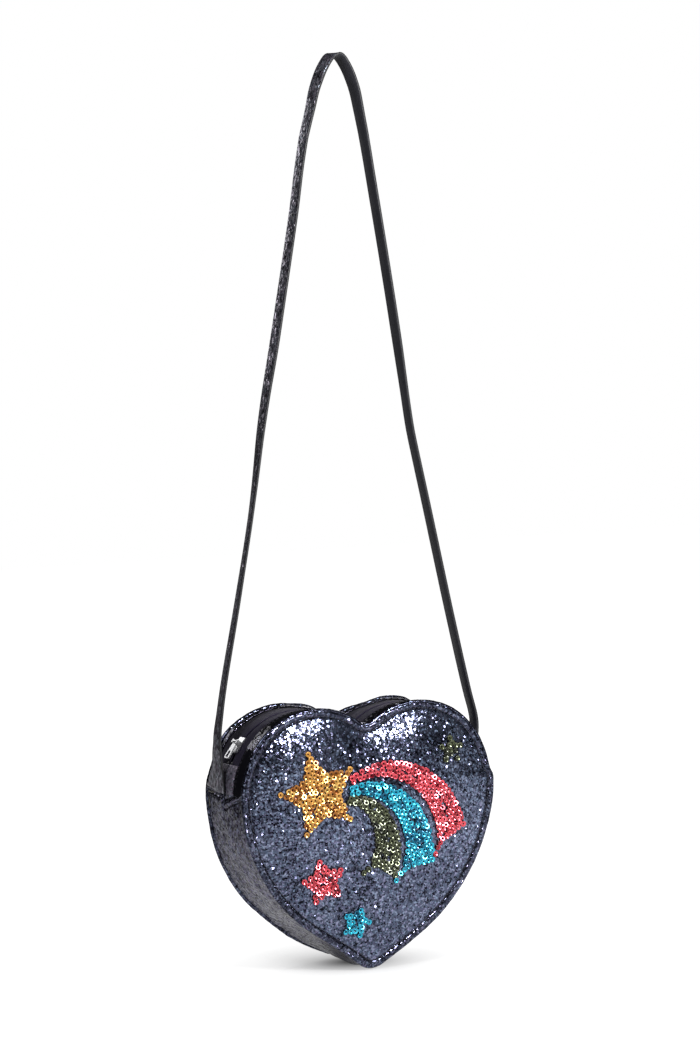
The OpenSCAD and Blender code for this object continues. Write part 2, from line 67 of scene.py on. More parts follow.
# sizes, in millimetres above the lower tip
HANG_Z = 588.0
HALF_W, HALF_D = 90.0, 29.0
LOBE_R, LOBE_Z, TIP_R, CLEFT_R = 53.0, 115.0, 14.0, 10.0
SIDE_LEAN = radians(55.7)
LOBE_X = HALF_W - LOBE_R
CLEFT_Z = LOBE_Z + sqrt((LOBE_R + CLEFT_R) ** 2 - LOBE_X ** 2)
LOBE_START = atan2(CLEFT_Z - LOBE_Z, LOBE_X)
SIDE_R = ((LOBE_Z - TIP_R) * sin(SIDE_LEAN) + TIP_R - HALF_W * cos(SIDE_LEAN)) / (1 - cos(SIDE_LEAN))
SEAM_Z = LOBE_Z + 3
FOAM_IN, LINING_IN = 23.8, 23.3
GROOVE_AT = 4.1
CROWN_FROM, CROWN, CROWN_RUN = 28.9, 6.4, 20.0
TAPE_SLIT, BAND_EDGE = 1.0, 26.6
COIL_FROM, COIL_TO = radians(143), radians(24)
CENTRE = np.array([0.0, 96.0])
AROUND = 320

# Names of the two sides, by the sign of y
PANEL_SIDE = {-1: "front", 1: "back"}
ZIP_SIDE = {-1: "front", 1: "rear"}
LIP = {-1: "front_lip", 1: "rear_lip"}


def linked(name, data):
    made = bpy.data.objects.new(name, data)
    scene.collection.objects.link(made)
    return made


# camera at the photograph's angle
CAMERA_ANGLES = radians(-27.57), radians(3.11), radians(-1.91)
CAMERA_AIM, CAMERA_AWAY = Vector((0.0075, 0, -0.3037)), 2.5
FOCAL_PIXELS, PICTURE_HEIGHT, SENSOR = 3846.5, 1050, 36


def make_camera():
    az, el, roll = CAMERA_ANGLES
    back = Vector((sin(az) * cos(el), -cos(az) * cos(el), sin(el)))
    right = Vector((cos(az), sin(az), 0))
    up = back.cross(right)
    right, up = (right * cos(roll) + up * sin(roll), up * cos(roll) - right * sin(roll))
    data = bpy.data.cameras.new("camera")
    data.lens, data.sensor_width, data.sensor_fit = FOCAL_PIXELS * SENSOR / PICTURE_HEIGHT, SENSOR, "AUTO"
    camera = linked("camera", data)
    place = Matrix((right, up, back)).transposed().to_4x4()
    place.translation = CAMERA_AIM + back * CAMERA_AWAY
    camera.matrix_world = place
    bpy.context.scene.camera = camera


make_camera()


# materials
class Nodes:
    """The nodes of one tree, made by short calls."""

    def __init__(self, tree):
        self.tree = tree

    def node(self, kind, sockets=None, **settings):
        made = self.tree.nodes.new("ShaderNode" + kind)
        for key, value in settings.items():
            setattr(made, key, value)
        for key, value in (sockets or {}).items():
            self.put(made.inputs[key], value)
        return made

    def put(self, socket, value):
        if isinstance(value, bpy.types.NodeSocket):
            self.tree.links.new(value, socket)
        else:
            socket.default_value = value

    def ramp(self, fac, stops):
        made = self.node("ValToRGB", {"Fac": fac})
        while len(made.color_ramp.elements) < len(stops):
            made.color_ramp.elements.new(0.5)
        for element, (at, colour) in zip(made.color_ramp.elements, stops):
            element.position, element.color = at, (*colour, 1)
        return made.outputs["Color"]

    def math(self, kind, a, b=0.0):
        made = self.node("Math", operation=kind)
        self.put(made.inputs[0], a)
        self.put(made.inputs[1], b)
        return made.outputs[0]

    def vector(self, kind, a, b=(0.0, 0.0, 0.0), scale=None):
        made = self.node("VectorMath", operation=kind)
        self.put(made.inputs[0], a)
        if scale is None:
            self.put(made.inputs[1], b)
        else:
            self.put(made.inputs["Scale"], scale)
        return made.outputs[0]

    def map_range(self, value, low, high, to_low, to_high):
        return self.node("MapRange", {"Value": value, "From Min": low, "From Max": high,
                                      "To Min": to_low, "To Max": to_high}).outputs[0]

    def mix(self, fac, a, b, blend="MIX"):
        made = self.node("Mix", data_type="RGBA", blend_type=blend)
        for place, value in ((0, fac), (6, a), (7, b)):
            self.put(made.inputs[place], value)
        return made.outputs[2]


class Shader(Nodes):
    """A material, painted by place on the object."""

    def __init__(self, name):
        self.material = bpy.data.materials.new(name)
        self.material.use_nodes = True
        super().__init__(self.material.node_tree)
        self.bsdf = self.tree.nodes["Principled BSDF"]
        self.where = self.node("TexCoord").outputs["Object"]

    def set(self, **values):
        for key, value in values.items():
            self.put(self.bsdf.inputs[key.replace("_", " ")], value)

    def noise(self, scale, detail=2.0, vector=None):
        sockets = {"Vector": vector or self.where, "Scale": scale, "Detail": detail}
        return self.node("TexNoise", sockets).outputs["Fac"]

    def bump(self, height, distance_mm, strength=1.0):
        sockets = {"Height": height, "Distance": distance_mm * MM, "Strength": strength}
        return self.node("Bump", sockets).outputs["Normal"]


def srgb(r, g, b):
    """A colour read as 0 to 255, as linear light."""
    shares = (r / 255, g / 255, b / 255)
    return tuple(v / 12.92 if v <= 0.04045 else ((v + 0.055) / 1.055) ** 2.4 for v in shares)


def glitter(name, deep, middle, pale, flake_mm=1.0, lean_least=0.15, lean_most=1.0, rough=0.13,
            metallic=0.9, stretch=(1.0, 1.0, 1.0), clumps=1.5, bare=1.0):
    """Flakes of foil, each a cell with its own shade. Most lie nearly flat, and a few lean a lot."""
    s = Shader(name)
    deep, middle, pale = srgb(*deep), srgb(*middle), srgb(*pale)
    s.where = s.vector("MULTIPLY", s.where, stretch)
    ragged = s.node("TexNoise", {"Vector": s.where, "Scale": 900.0}).outputs["Color"]
    warped = s.vector("ADD", s.where, s.vector("SCALE", ragged, scale=0.0006))
    colour = s.node("TexVoronoi", {"Vector": warped, "Scale": 1000 / flake_mm}).outputs["Color"]
    parts = s.node("SeparateColor", {"Color": colour}).outputs
    shade = s.math("ADD", s.math("MULTIPLY", parts[0], 0.9),
                   s.math("MULTIPLY", s.math("SUBTRACT", s.noise(420, 3.0), 0.45), clumps))
    shade = s.math("ADD", shade, s.math("MULTIPLY", s.math("SUBTRACT", s.noise(40, 2.0), 0.46), 0.7))
    tone = s.ramp(shade, [(0.09, deep), (0.36, middle), (0.66, middle), (0.95, pale)])
    tint = s.ramp(parts[2], [(0.1, (0.84, 0.97, 1.0)), (0.5, (1.0, 1.0, 1.0)), (0.9, (1.0, 0.88, 1.0))])
    tone = s.mix(1.0, tone, tint, "MULTIPLY")
    # Spots where the flakes are worn thin and the dark ground shows
    worn = s.ramp(s.noise(300, 3.0), [(0.36, (bare, bare, bare)), (0.42, (1.0, 1.0, 1.0))])
    tone = s.mix(1.0, tone, worn, "MULTIPLY")
    chance = s.math("POWER", s.math("FRACT", s.math("MULTIPLY", parts[1], 7.31)), 5.0)
    reach = s.math("ADD", s.math("MULTIPLY", chance, lean_most), lean_least)
    lean = s.vector("SCALE", s.vector("SUBTRACT", colour, (0.5, 0.5, 0.5)), scale=reach)
    normal = s.vector("NORMALIZE", s.vector("ADD", s.node("NewGeometry").outputs["Normal"], lean))
    s.set(Base_Color=tone, Metallic=metallic, Roughness=rough, Normal=normal)
    return s.material


def scaled(colour, times):
    """A lighter or darker colour for a socket."""
    return (*[min(1, c * times) for c in colour], 1)


def metal(name, colour, rough, scratch=0.25):
    s = Shader(name)
    grain = s.noise(900, 3.0, s.vector("MULTIPLY", s.where, (1.0, 6.0, 1.0)))
    wear = s.noise(220, 3.0)
    s.set(Base_Color=s.mix(wear, scaled(colour, 1), scaled(colour, 0.82)), Metallic=1.0,
          Roughness=s.math("ADD", s.math("MULTIPLY", grain, scratch), rough),
          Normal=s.bump(grain, 0.01, 0.3))
    return s.material


def woven(name, colour, pitch_mm, rough=0.75, spread=0.45, shine=0.5):
    """Crossing yarns from two waves along different axes."""
    s = Shader(name)
    colour = srgb(*colour)
    waves = {"Vector": s.where, "Scale": 1000 / pitch_mm * 0.5, "Distortion": 0.4}
    warp, weft = (s.node("TexWave", waves, bands_direction=way).outputs["Fac"] for way in ("Y", "DIAGONAL"))
    yarn = s.math("MAXIMUM", warp, weft)
    s.set(Base_Color=s.mix(yarn, scaled(colour, 1 - spread), scaled(colour, 1 + spread)),
          Roughness=rough, Specular_IOR_Level=shine, Normal=s.bump(yarn, 0.12, 0.8), Sheen_Weight=0.08)
    return s.material


def leathery(name, colour, rough, shine=0.5):
    s = Shader(name)
    colour = srgb(*colour)
    grain = s.node("TexVoronoi", {"Vector": s.where, "Scale": 1000 / 0.55},
                   feature="DISTANCE_TO_EDGE").outputs["Distance"]
    cloudy = s.noise(60, 3.0)
    s.set(Base_Color=s.mix(cloudy, scaled(colour, 0.8), scaled(colour, 1.3)),
          Roughness=s.math("ADD", s.math("MULTIPLY", cloudy, 0.15), rough), Specular_IOR_Level=shine,
          Normal=s.bump(grain, 0.03, 0.35))
    return s.material


def foil(name, colour, dark):
    """Sequins: each one a little different in tone."""
    s = Shader(name)
    colour, dark = srgb(*colour), srgb(*dark)
    alone = s.node("NewGeometry").outputs["Random Per Island"]
    bright = tuple(min(1, c * 1.35 + 0.05) for c in colour)
    tone = s.ramp(alone, [(0.0, dark), (0.5, colour), (0.75, colour), (1.0, bright)])
    s.set(Base_Color=tone, Metallic=0.55, Roughness=0.22, Coat_Weight=0.3, Coat_Roughness=0.1,
          Normal=s.bump(s.noise(500, 1.0), 0.01, 0.3))
    return s.material


GLITTER = glitter("glitter_sheet", (16, 17, 28), (91, 98, 120), (150, 158, 184), clumps=1.3, bare=0.35)
GLITTER_RIM = glitter("glitter_rim", (24, 24, 34), (66, 69, 86), (124, 128, 150))
GLITTER_SIDE = glitter("glitter_gusset", (14, 14, 23), (82, 81, 98), (124, 123, 146), flake_mm=1.4,
                       lean_least=0.25, rough=0.2, clumps=3.0, bare=0.25)
GLITTER_TAB = glitter("glitter_tab", (60, 57, 68), (140, 134, 150), (168, 162, 178), lean_least=0.3,
                      rough=0.35, metallic=0.35)
GLITTER_STRIP = glitter("glitter_strip", (12, 11, 18), (44, 42, 54), (110, 110, 126))
GLITTER_STRAP = glitter("glitter_strap", (24, 23, 30), (114, 112, 122), (180, 178, 190), flake_mm=0.9,
                        lean_least=0.3, lean_most=0.6, rough=0.3, metallic=0.65, stretch=(1.0, 1.0, 0.45))
BACKING = leathery("strap_backing", (50, 50, 57), 0.45)
EDGE_PAINT = leathery("strap_edge", (20, 20, 24), 0.4)
THREAD = woven("thread", (34, 33, 46), 0.35, 0.6)
TAPE = woven("zip_tape", (32, 25, 50), 0.7, 0.85, shine=0.3)
# Near-black sheet for the crease beside the zip's left end: painted shade, not a cloth of its own
CREASE_SHADE_PAINT = leathery("crease_painted_shade", (6, 6, 15), 0.85, shine=0.12)
COIL = woven("zip_coil", (26, 23, 34), 0.5, 0.4, 0.2)
LINING = woven("lining", (74, 74, 84), 0.45, 0.7, 0.25)
BOARD = woven("stiffener", (120, 118, 112), 1.4, 0.9, 0.15)
NICKEL = metal("nickel", (0.72, 0.72, 0.74), 0.16)
# Light and dark tone of each kind's sequins, then of the discs under them, which fill the gaps with painted
# shade in the sequins' hue
SEQUIN_TONES = {
    "gold": ((244, 180, 90), (156, 86, 26), (74, 36, 10), (38, 16, 5)),
    "red": ((252, 92, 106), (140, 18, 38), (58, 6, 16), (28, 2, 8)),
    "turquoise": ((48, 192, 224), (10, 88, 124), (8, 42, 62), (4, 22, 36)),
    "green": ((86, 92, 66), (26, 30, 18), (10, 12, 8), (4, 5, 3)),
}
SEQUINS = {}
for kind, (light, dark, under, under_dark) in SEQUIN_TONES.items():
    ground = foil("sequin_" + kind + "_shade_under", under, under_dark)
    SEQUINS[kind] = foil("sequin_" + kind, light, dark), ground


# mesh helpers
def lifted(points):
    """Millimetres above the tip, as metres in the shared frame."""
    out = np.asarray(points, float) * MM
    out[..., 2] -= HANG_Z * MM
    return out


def unit(v):
    return v / norm(v, axis=-1, keepdims=True)


def bell(v, at, width):
    return np.exp(-((v - at) / width) ** 2)


def settled(points):
    """Where soft use has pushed the bag a little out of its drawn shape, in millimetres."""
    out = np.array(points, float)
    x, y, z = out[..., 0].copy(), out[..., 1].copy(), out[..., 2].copy()
    rear, front = np.clip((y + 5) / 34, 0, 1) ** 1.5, np.clip((5 - y) / 34, 0, 1)
    left, right = 1 / (1 + np.exp((x + 45) / 6)), 1 / (1 + np.exp((45 - x) / 6))
    top = np.clip((z - 140) / 20, 0, 1)
    # Shoulder behind the strap, dip beside the cleft, and the fuller lobes in front
    out[..., 0] += (2.6 * bell(z, 135, 13) + 1.3 * bell(z, 105, 20)) * rear * left
    out[..., 2] += (2.8 * bell(x, -10, 10) - 3.4 * bell(x, 26, 14) + 1.6 * bell(x, 58, 9)
                    - 0.8 * bell(x, -60, 14) + 0.5 * bell(x, -16, 14)) * rear * top
    out[..., 2] += 0.9 * front * top
    # The lower back corner hangs fuller, and so does the right edge
    low = rear * (1.3 * bell(z, 42, 24) + 2.5 * bell(z, 16, 11)) * (1 - np.clip((x + 4) / 12, 0, 1))
    out[..., 2] += 2.2 * rear * bell(z, 0, 9) * bell(x, 0, 16)
    out[..., 0] -= 0.75 * low
    out[..., 2] -= 0.66 * low
    out[..., 0] += front * right * (2.0 * bell(z, 116, 34) / (1 + np.exp((z - 119.5) / 0.9))
                                    - 0.7 * bell(z, 132, 12))
    out[..., 0] += 2.6 * front * bell(z, 20, 15) * np.clip((x - 4) / 16, 0, 1) - 2.0 * front * bell(z, 0, 6)
    out[..., 2] -= 1.6 * bell(z, 0, 7) * bell(y, 0, 16) * bell(x, -2, 12)
    return out


def make_object(name, vertices, faces, materials, slots=None):
    mesh = bpy.data.meshes.new(name)
    mesh.from_pydata([tuple(v) for v in vertices], [], [tuple(f) for f in faces])
    for m in materials:
        mesh.materials.append(m)
    if slots is not None:
        mesh.polygons.foreach_set("material_index", np.asarray(slots, np.int32))
    mesh.polygons.foreach_set("use_smooth", [True] * len(mesh.polygons))
    made = linked(name, mesh)
    work = bmesh.new()
    work.from_mesh(mesh)
    bmesh.ops.recalc_face_normals(work, faces=work.faces)
    work.to_mesh(mesh)
    work.free()
    return made


def quads(count, width, base=0, wrap_rows=False):
    """Quads over count rows of width points; each row is a closed section."""
    faces = []
    for i in range(count if wrap_rows else count - 1):
        j = (i + 1) % count
        for k in range(width):
            m = (k + 1) % width
            faces.append(tuple(base + r * width + c for r, c in ((i, k), (i, m), (j, m), (j, k))))
    return faces


def lattice(rows, wrap_rows, base=0):
    """Quads over rows of points, with open ends capped."""
    count, width = rows.shape[:2]
    faces = quads(count, width, base, wrap_rows)
    if not wrap_rows:
        end = base + (count - 1) * width
        faces += [tuple(range(base, base + width)), tuple(range(end, end + width))[::-1]]
    return faces


def swept(name, rows, materials, slots=None, soft=True, wrap_rows=False):
    """rows is (n, m, 3) in millimetres: n closed sections of m points."""
    rows = settled(rows) if soft else rows
    faces = lattice(rows, wrap_rows)
    if slots is not None:
        bands = len(rows) if wrap_rows else len(rows) - 1
        slots = slots * bands + ([] if wrap_rows else [slots[0], slots[0]])
    return make_object(name, lifted(rows).reshape(-1, 3), faces, materials, slots)


# the heart's outline
def run_along(path):
    """How far each point of a path lies from its start, along the path."""
    return np.concatenate([[0], np.cumsum(norm(np.diff(path[:, :2], axis=0), axis=1))])


def arc_points(cx, cz, r, start, end, count, outward=1):
    """Points of an arc, and their unit normals out of the heart."""
    a = np.linspace(start, end, count)
    ring = np.stack([np.cos(a), np.sin(a)], 1)
    return [cx, cz] + r * ring, outward * ring


def heart_outline(count):
    """Points and outward normals evenly spaced round the heart, from the cleft by the left lobe."""
    pieces = [
        arc_points(0, CLEFT_Z, CLEFT_R, -pi / 2, LOBE_START - pi, 60, -1),
        arc_points(-LOBE_X, LOBE_Z, LOBE_R, LOBE_START, pi, 400),
        arc_points(SIDE_R - HALF_W, LOBE_Z, SIDE_R, pi, pi + SIDE_LEAN, 400),
        arc_points(0, TIP_R, TIP_R, pi + SIDE_LEAN, 1.5 * pi, 40),
    ]
    half = np.concatenate([np.concatenate(p, 1)[(1 if i else 0):] for i, p in enumerate(pieces)])
    whole = np.concatenate([half, (half[::-1] * [-1, 1, -1, 1])[1:]])
    run = run_along(whole)
    at = np.linspace(0, run[-1], count + 1)[:-1]
    out = np.stack([np.interp(at, run, whole[:, c]) for c in range(4)], 1)
    out[:, 2:] = unit(out[:, 2:])
    return out, at


OUTLINE, OUTLINE_RUN = heart_outline(AROUND)
FINE, DENSE = heart_outline(3200)[0], heart_outline(1600)[0][:, :2]


def inset(distance):
    """The outline drawn in by a distance."""
    return OUTLINE[:, :2] - OUTLINE[:, 2:] * distance


def inward(t):
    """The outline drawn in by 10 mm, then shrunk towards the middle by the share t."""
    return inset(10.0) * (1 - t) + CENTRE * t


def ring_at(p, depth):
    return np.stack([p[:, 0], np.broadcast_to(depth, len(p)), p[:, 1]], 1)


def edge_distance(points):
    """How far each (x, z) lies from the heart's outline."""
    out = np.empty(len(points))
    for i in range(0, len(points), 2000):
        d = points[i:i + 2000, None] - DENSE[None]
        out[i:i + 2000] = np.sqrt((d ** 2).sum(-1).min(1))
    return out


def upper_run(z_low, count):
    """The stretch over both lobes from the left side at z_low to the right side, with points and normals."""
    keep = FINE[:, 1] >= z_low
    left = FINE[keep & (FINE[:, 0] <= 0)][::-1]
    right = FINE[keep & (FINE[:, 0] > 0)][::-1]
    return resample(np.concatenate([left, right]), count)


def lower_run(z_high, count):
    return resample(FINE[FINE[:, 1] <= z_high], count)


def resample(path, count):
    """Points spaced evenly along a path, or at given shares of its length."""
    run = run_along(path)
    at = np.linspace(0, run[-1], count) if np.isscalar(count) else count * run[-1]
    out = np.stack([np.interp(at, run, path[:, c]) for c in range(path.shape[1])], 1)
    out[:, 2:4] = unit(out[:, 2:4])
    return out


def along_outline(path, section):
    """section is a list of (outwards, y), or a function of the row that gives one."""
    rows = []
    for i, (x, z, nx, nz) in enumerate(path):
        shape = np.asarray(section(i) if callable(section) else section, float)
        rows.append(np.stack([x + nx * shape[:, 0], shape[:, 1], z + nz * shape[:, 0]], 1))
    return np.array(rows)


def soft_noise(x, y, seed, waves=7, longest=60.0, shortest=9.0):
    """A smooth, repeatable unevenness from a few sine waves, about -1 to 1."""
    r = np.random.default_rng(seed)
    total = 0.0
    for _ in range(waves):
        length = exp(r.uniform(log(shortest), log(longest)))
        a, phase = r.uniform(0, tau), r.uniform(0, tau)
        total += np.sin((x * cos(a) + y * sin(a)) * tau / length + phase) * (length / longest) ** 0.5
    return total / waves ** 0.5


def bend_with_lip(piece):
    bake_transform(piece)


# padded panels
CLOTH_FRAMES = 20


def inflate(piece, free, pressure, cap_mm):
    """Air pressure pushes the free points of a closed form out, by no more than the cap."""
    rest = np.array([v.co for v in piece.data.vertices])
    group = piece.vertex_groups.new(name="held")
    for i in np.flatnonzero(~free):
        group.add([int(i)], 1.0, "REPLACE")
    cloth = piece.modifiers.new("cloth", "CLOTH")
    settings = cloth.settings
    settings.quality, settings.mass, settings.vertex_group_mass = 5, 0.2, "held"
    settings.use_pressure, settings.uniform_pressure_force = True, pressure
    settings.tension_stiffness = settings.compression_stiffness = 30
    settings.bending_stiffness = 2.0
    settings.effector_weights.gravity = 0
    cloth.collision_settings.use_collision = False
    for at in range(CLOTH_FRAMES):
        scene.frame_set(at + 1)
    shaped = piece.evaluated_get(bpy.context.evaluated_depsgraph_get())
    moved = np.array([v.co for v in shaped.data.vertices]) - rest
    piece.modifiers.remove(cloth)
    piece.vertex_groups.remove(group)
    scene.frame_set(1)
    size = norm(moved, axis=1, keepdims=True)
    moved *= np.minimum(1, cap_mm * MM / np.maximum(size, 1e-9))
    piece.data.vertices.foreach_set("co", (rest + moved).ravel())
    piece.data.update()


RIM = [  # distance in from the outline, and outwards from the middle plane, from the seam to the pad
    (0.9, 26.4), (0.1, 27.6), (0.0, 28.3), (0.4, 28.8), (1.2, 29.1), (2.2, 29.15), (3.1, 29.0),
    (3.7, 28.75), (GROOVE_AT - 0.12, 28.45), (GROOVE_AT + 0.12, 28.45), (4.6, 28.8), (5.3, 29.15),
    (6.4, 29.5), (7.9, 29.85),
]
# Rings of the flat inside, the rim and the crown, and the depth where the outside starts
FLAT_RINGS, RIM_RINGS, INNER_STEPS, OUTER_FROM = 6, 10, 24, 28.0


def panel_cover(name, face, seed):
    """Glitter sheet and foam as one pad: flat inside, rounded at the rim, sewn in a groove, and crowned."""
    rings = [ring_at(inward(t), FOAM_IN) for t in np.linspace(0.9, 0.0, FLAT_RINGS)]
    rings.append(ring_at(inset(2.4), FOAM_IN))
    rings += [ring_at(inset(distance), depth) for distance, depth in RIM]
    for t in np.arange(INNER_STEPS) / INNER_STEPS:
        p = inward(t)
        rings.append(ring_at(p, CROWN_FROM + CROWN * (1 - np.exp(-(edge_distance(p) - 5.2) / CROWN_RUN))))
    points = np.concatenate(rings)
    d = edge_distance(points[:, [0, 2]])
    outer = points[:, 1] > OUTER_FROM
    fade = np.clip((d - 5.5) / 12, 0, 1)
    points[:, 1] += outer * fade * 0.35 * soft_noise(points[:, 0], points[:, 2], seed)
    # Small gathers that the sewn groove pulls into the sheet on both of its sides
    run = np.tile(OUTLINE_RUN, len(rings))
    gather = 0.1 * soft_noise(run, 0, seed + 1, 6, 14.0, 5.0)
    points[:, 1] += outer * np.exp(-((d - GROOVE_AT) / 3.2) ** 2) * gather
    count = len(points)
    middle = [[CENTRE[0], y, CENTRE[1]] for y in (FOAM_IN, CROWN_FROM + CROWN)]
    points = np.concatenate([points, middle])
    points[:, 1] *= face
    faces = quads(len(rings), AROUND)
    last = (len(rings) - 1) * AROUND
    for k in range(AROUND):
        m = (k + 1) % AROUND
        faces.append((count, m, k))
        faces.append((last + k, last + m, count + 1))
    rim = range(FLAT_RINGS * AROUND, (FLAT_RINGS + RIM_RINGS) * AROUND)
    slots = [1 if f[0] in rim else 0 for f in faces]
    piece = make_object(name, lifted(settled(points)), faces, [GLITTER, GLITTER_RIM], slots)
    free = np.append(outer & (d > 6.5), [False, True])
    inflate(piece, free, pressure=4.0, cap_mm=1.5)
    side, lip = PANEL_SIDE[face], LIP[face]
    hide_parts(side + "_panel", side + "_foam", lip + "_panel", lip + "_foam")
    return piece


def lining_panel(name, face):
    """The cloth behind the foam, with the slack of a lining that is only held at its edges."""
    rings, behind = [], FOAM_IN - 0.05
    shares = np.linspace(0.96, 0.0, 14)
    for t in shares:
        p = inward(t)
        uneven = 0.5 + 0.5 * soft_noise(p[:, 0], p[:, 1], 31 + face)
        slack = 0.35 * uneven * np.clip(edge_distance(p) / 14, 0, 1)
        rings.append(ring_at(p, LINING_IN - slack))
    rings += [ring_at(inset(2.6), LINING_IN), ring_at(inset(2.6), behind)]
    rings += [ring_at(inward(t), behind) for t in shares[::-1]]
    rows = np.array(rings)
    rows[:, :, 1] *= face
    piece = swept(name, rows, [LINING])
    side, lip = PANEL_SIDE[face], LIP[face]
    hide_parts(side + "_lining", lip + "_lining")
    bend_with_lip(piece)


def piping(name, face):
    """A thin welt between the panel and the side, with a seam's small waves."""
    a = np.linspace(0, tau, 12, endpoint=False)
    wave = 0.12 * soft_noise(OUTLINE_RUN, 0, 51 + face, 6, 30.0, 6.0)

    def section(i):
        return np.stack([-0.2 + wave[i] + (1.45 + 0.3 * wave[i]) * np.cos(a),
                         face * (27.4 + 1.5 * np.sin(a))], 1)

    piece = swept(name, along_outline(OUTLINE, section), [GLITTER_RIM], wrap_rows=True)
    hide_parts(PANEL_SIDE[face] + "_piping", LIP[face] + "_piping")
    bend_with_lip(piece)


# stitches
RAY_FROM = 0.06


def stitches(name, places, length, radius, material, soft=True):
    """places lists (centre, along, out) in millimetres. Each stitch is a short thread with sunk ends."""
    ring = [(0.0, 0.35), (0.16, 0.85), (0.5, 1.0), (0.84, 0.85), (1.0, 0.35)]
    a = np.linspace(0, tau, 6, endpoint=False)
    vertices, faces = [], []
    for place in places:
        centre, along, out = (np.asarray(v, float) for v in place)
        side = np.cross(along, out)
        rows = []
        for t, grow in ring:
            lift = -0.5 * radius * (2 * t - 1) ** 2
            c = centre + along * (t - 0.5) * length + out * lift
            rows.append(c + radius * grow * (np.cos(a)[:, None] * side + 0.8 * np.sin(a)[:, None] * out))
        faces += lattice(np.array(rows), False, len(vertices))
        vertices += list(np.concatenate(rows))
    return make_object(name, lifted(settled(vertices) if soft else vertices), faces, [material])


def surface_at(tree, x, z, face):
    """Height and normal of the pad over a place in its plane, in millimetres."""
    start = Vector((x * MM, face * RAY_FROM, (z - HANG_Z) * MM))
    hit, normal = tree.ray_cast(start, Vector((0, -face, 0)))[:2]
    if hit is None:
        return None
    return hit.y / MM, np.array(normal)


def tree_of(piece):
    work = bmesh.new()
    work.from_mesh(piece.data)
    tree = BVHTree.FromBMesh(work)
    work.free()
    return tree


def groove_stitches(name, face, tree):
    pitch, length = 3.1, 2.3
    once_round = run_along(np.concatenate([DENSE, DENSE[:1]]))[-1]
    places = []
    for x, z, nx, nz in heart_outline(int(round(once_round / pitch)))[0]:
        px, pz = x - nx * GROOVE_AT, z - nz * GROOVE_AT
        found = surface_at(tree, px, pz, face)
        if found:
            places.append(([px, found[0] + face * 0.12, pz], [-nz, 0, nx], [0, face, 0]))
    piece = stitches(name, places, length, 0.32, THREAD)
    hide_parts(PANEL_SIDE[face] + "_topstitch", LIP[face] + "_topstitch")
    bend_with_lip(piece)


pads = {face: panel_cover(name + "_pad", face, 5 + face) for face, name in PANEL_SIDE.items()}
trees = {face: tree_of(pad) for face, pad in pads.items()}
for face, name in PANEL_SIDE.items():
    bend_with_lip(pads[face])
    lining_panel(name + "_lining_cloth", face)
    piping(name + "_welt", face)
    groove_stitches(name + "_groove_stitches", face, trees[face])


# gusset below the cross seams
def gusset():
    """The side band round the heart's tip: a little loose between its seams, puckered where it ends."""
    ends = np.linspace(0, 0.08, 70)
    path = lower_run(SEAM_Z, np.concatenate([ends, np.linspace(0.08, 0.92, 190)[1:-1], 1 - ends[::-1]]))
    ys = np.concatenate([[-BAND_EDGE], np.linspace(-25.6, 25.6, 61), [BAND_EDGE]])
    run = run_along(path)

    def section(i):
        s = run[i]
        loose = 0.55 * np.cos(ys / BAND_EDGE * pi / 2) + 0.3 * soft_noise(s, ys, 71, 7, 50.0, 10.0)
        near = np.exp(-((BAND_EDGE - np.abs(ys)) / 3.5)) * 0.22 * soft_noise(s, 0, 72, 6, 16.0, 5.0)
        from_end = min(s, run[-1] - s)
        pucker = seam_shape(ys, path[i, 1] - SEAM_Z) * exp(-from_end / 30)
        pucker -= 1.2 * bell(ys, -21, 4.5) * exp(-(from_end / 14) ** 2)
        fine = 0.07 * soft_noise(s, ys, 73, 9, 11.0, 3.5)
        out = np.clip(loose, -0.4, 1.1) * np.clip(from_end / 6, 0.2, 1) + near + fine + pucker
        out[0] = out[-1] = -0.5
        outer = np.stack([out, ys], 1)
        inner = np.stack([np.full(len(ys), -1.15), ys], 1)[::-1]
        return np.concatenate([outer, inner])

    rows = along_outline(path, section)
    # The cross seam climbs a little towards the back
    rows[..., 2] += 0.11 * np.clip(rows[..., 1], 0, 26) * np.clip((rows[..., 2] - 108) / 10, 0, 1)
    piece = swept("gusset_band", rows, [GLITTER_SIDE])
    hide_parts("lower_gusset", "left_cross_seam", "right_cross_seam")
    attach(piece, "bag")


def seam_shape(ys, z):
    """The sewn end: a straight ridge towards the back, a dip in the middle, a crease to the front."""
    low = -9.4
    front = low - (ys / 21.0) * 7.4
    line = np.where(ys > 3, -1.4, np.where(ys > 0, -1.4 + (3 - ys) / 3 * (low + 1.4), front))
    away = z - line
    ridge = 1.0 * bell(away, 0.4, 0.9) - 1.1 * bell(away, -1.5, 0.8)
    second = -0.8 * bell(away, 4.2, 0.8) * (ys < -2) * (ys > -15)
    fold = 0.9 * bell(ys, 2.6, 1.1) * bell(z, -6, 7.0) - 0.8 * bell(ys, 0.6, 0.8) * bell(z, -6, 7.0)
    return ridge + second + fold


gusset()


def gusset_lining():
    path = lower_run(SEAM_Z, 150)
    ys = np.linspace(-23.1, 23.1, 15)

    def section(i):
        slack = 0.22 * np.abs(soft_noise(i * 2.3, ys, 81))
        inner = np.stack([-2.7 - slack, ys], 1)
        outer = np.stack([np.full(len(ys), -2.2), ys], 1)[::-1]
        return np.concatenate([inner, outer])

    piece = swept("gusset_lining_cloth", along_outline(path, section), [LINING])
    length = float(run_along(path)[-1]) * MM
    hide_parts("gusset_lining")
    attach(piece, "bag")


gusset_lining()


# the zip
TOP = upper_run(SEAM_Z - 1, 300)
TOP_RUN = run_along(TOP)


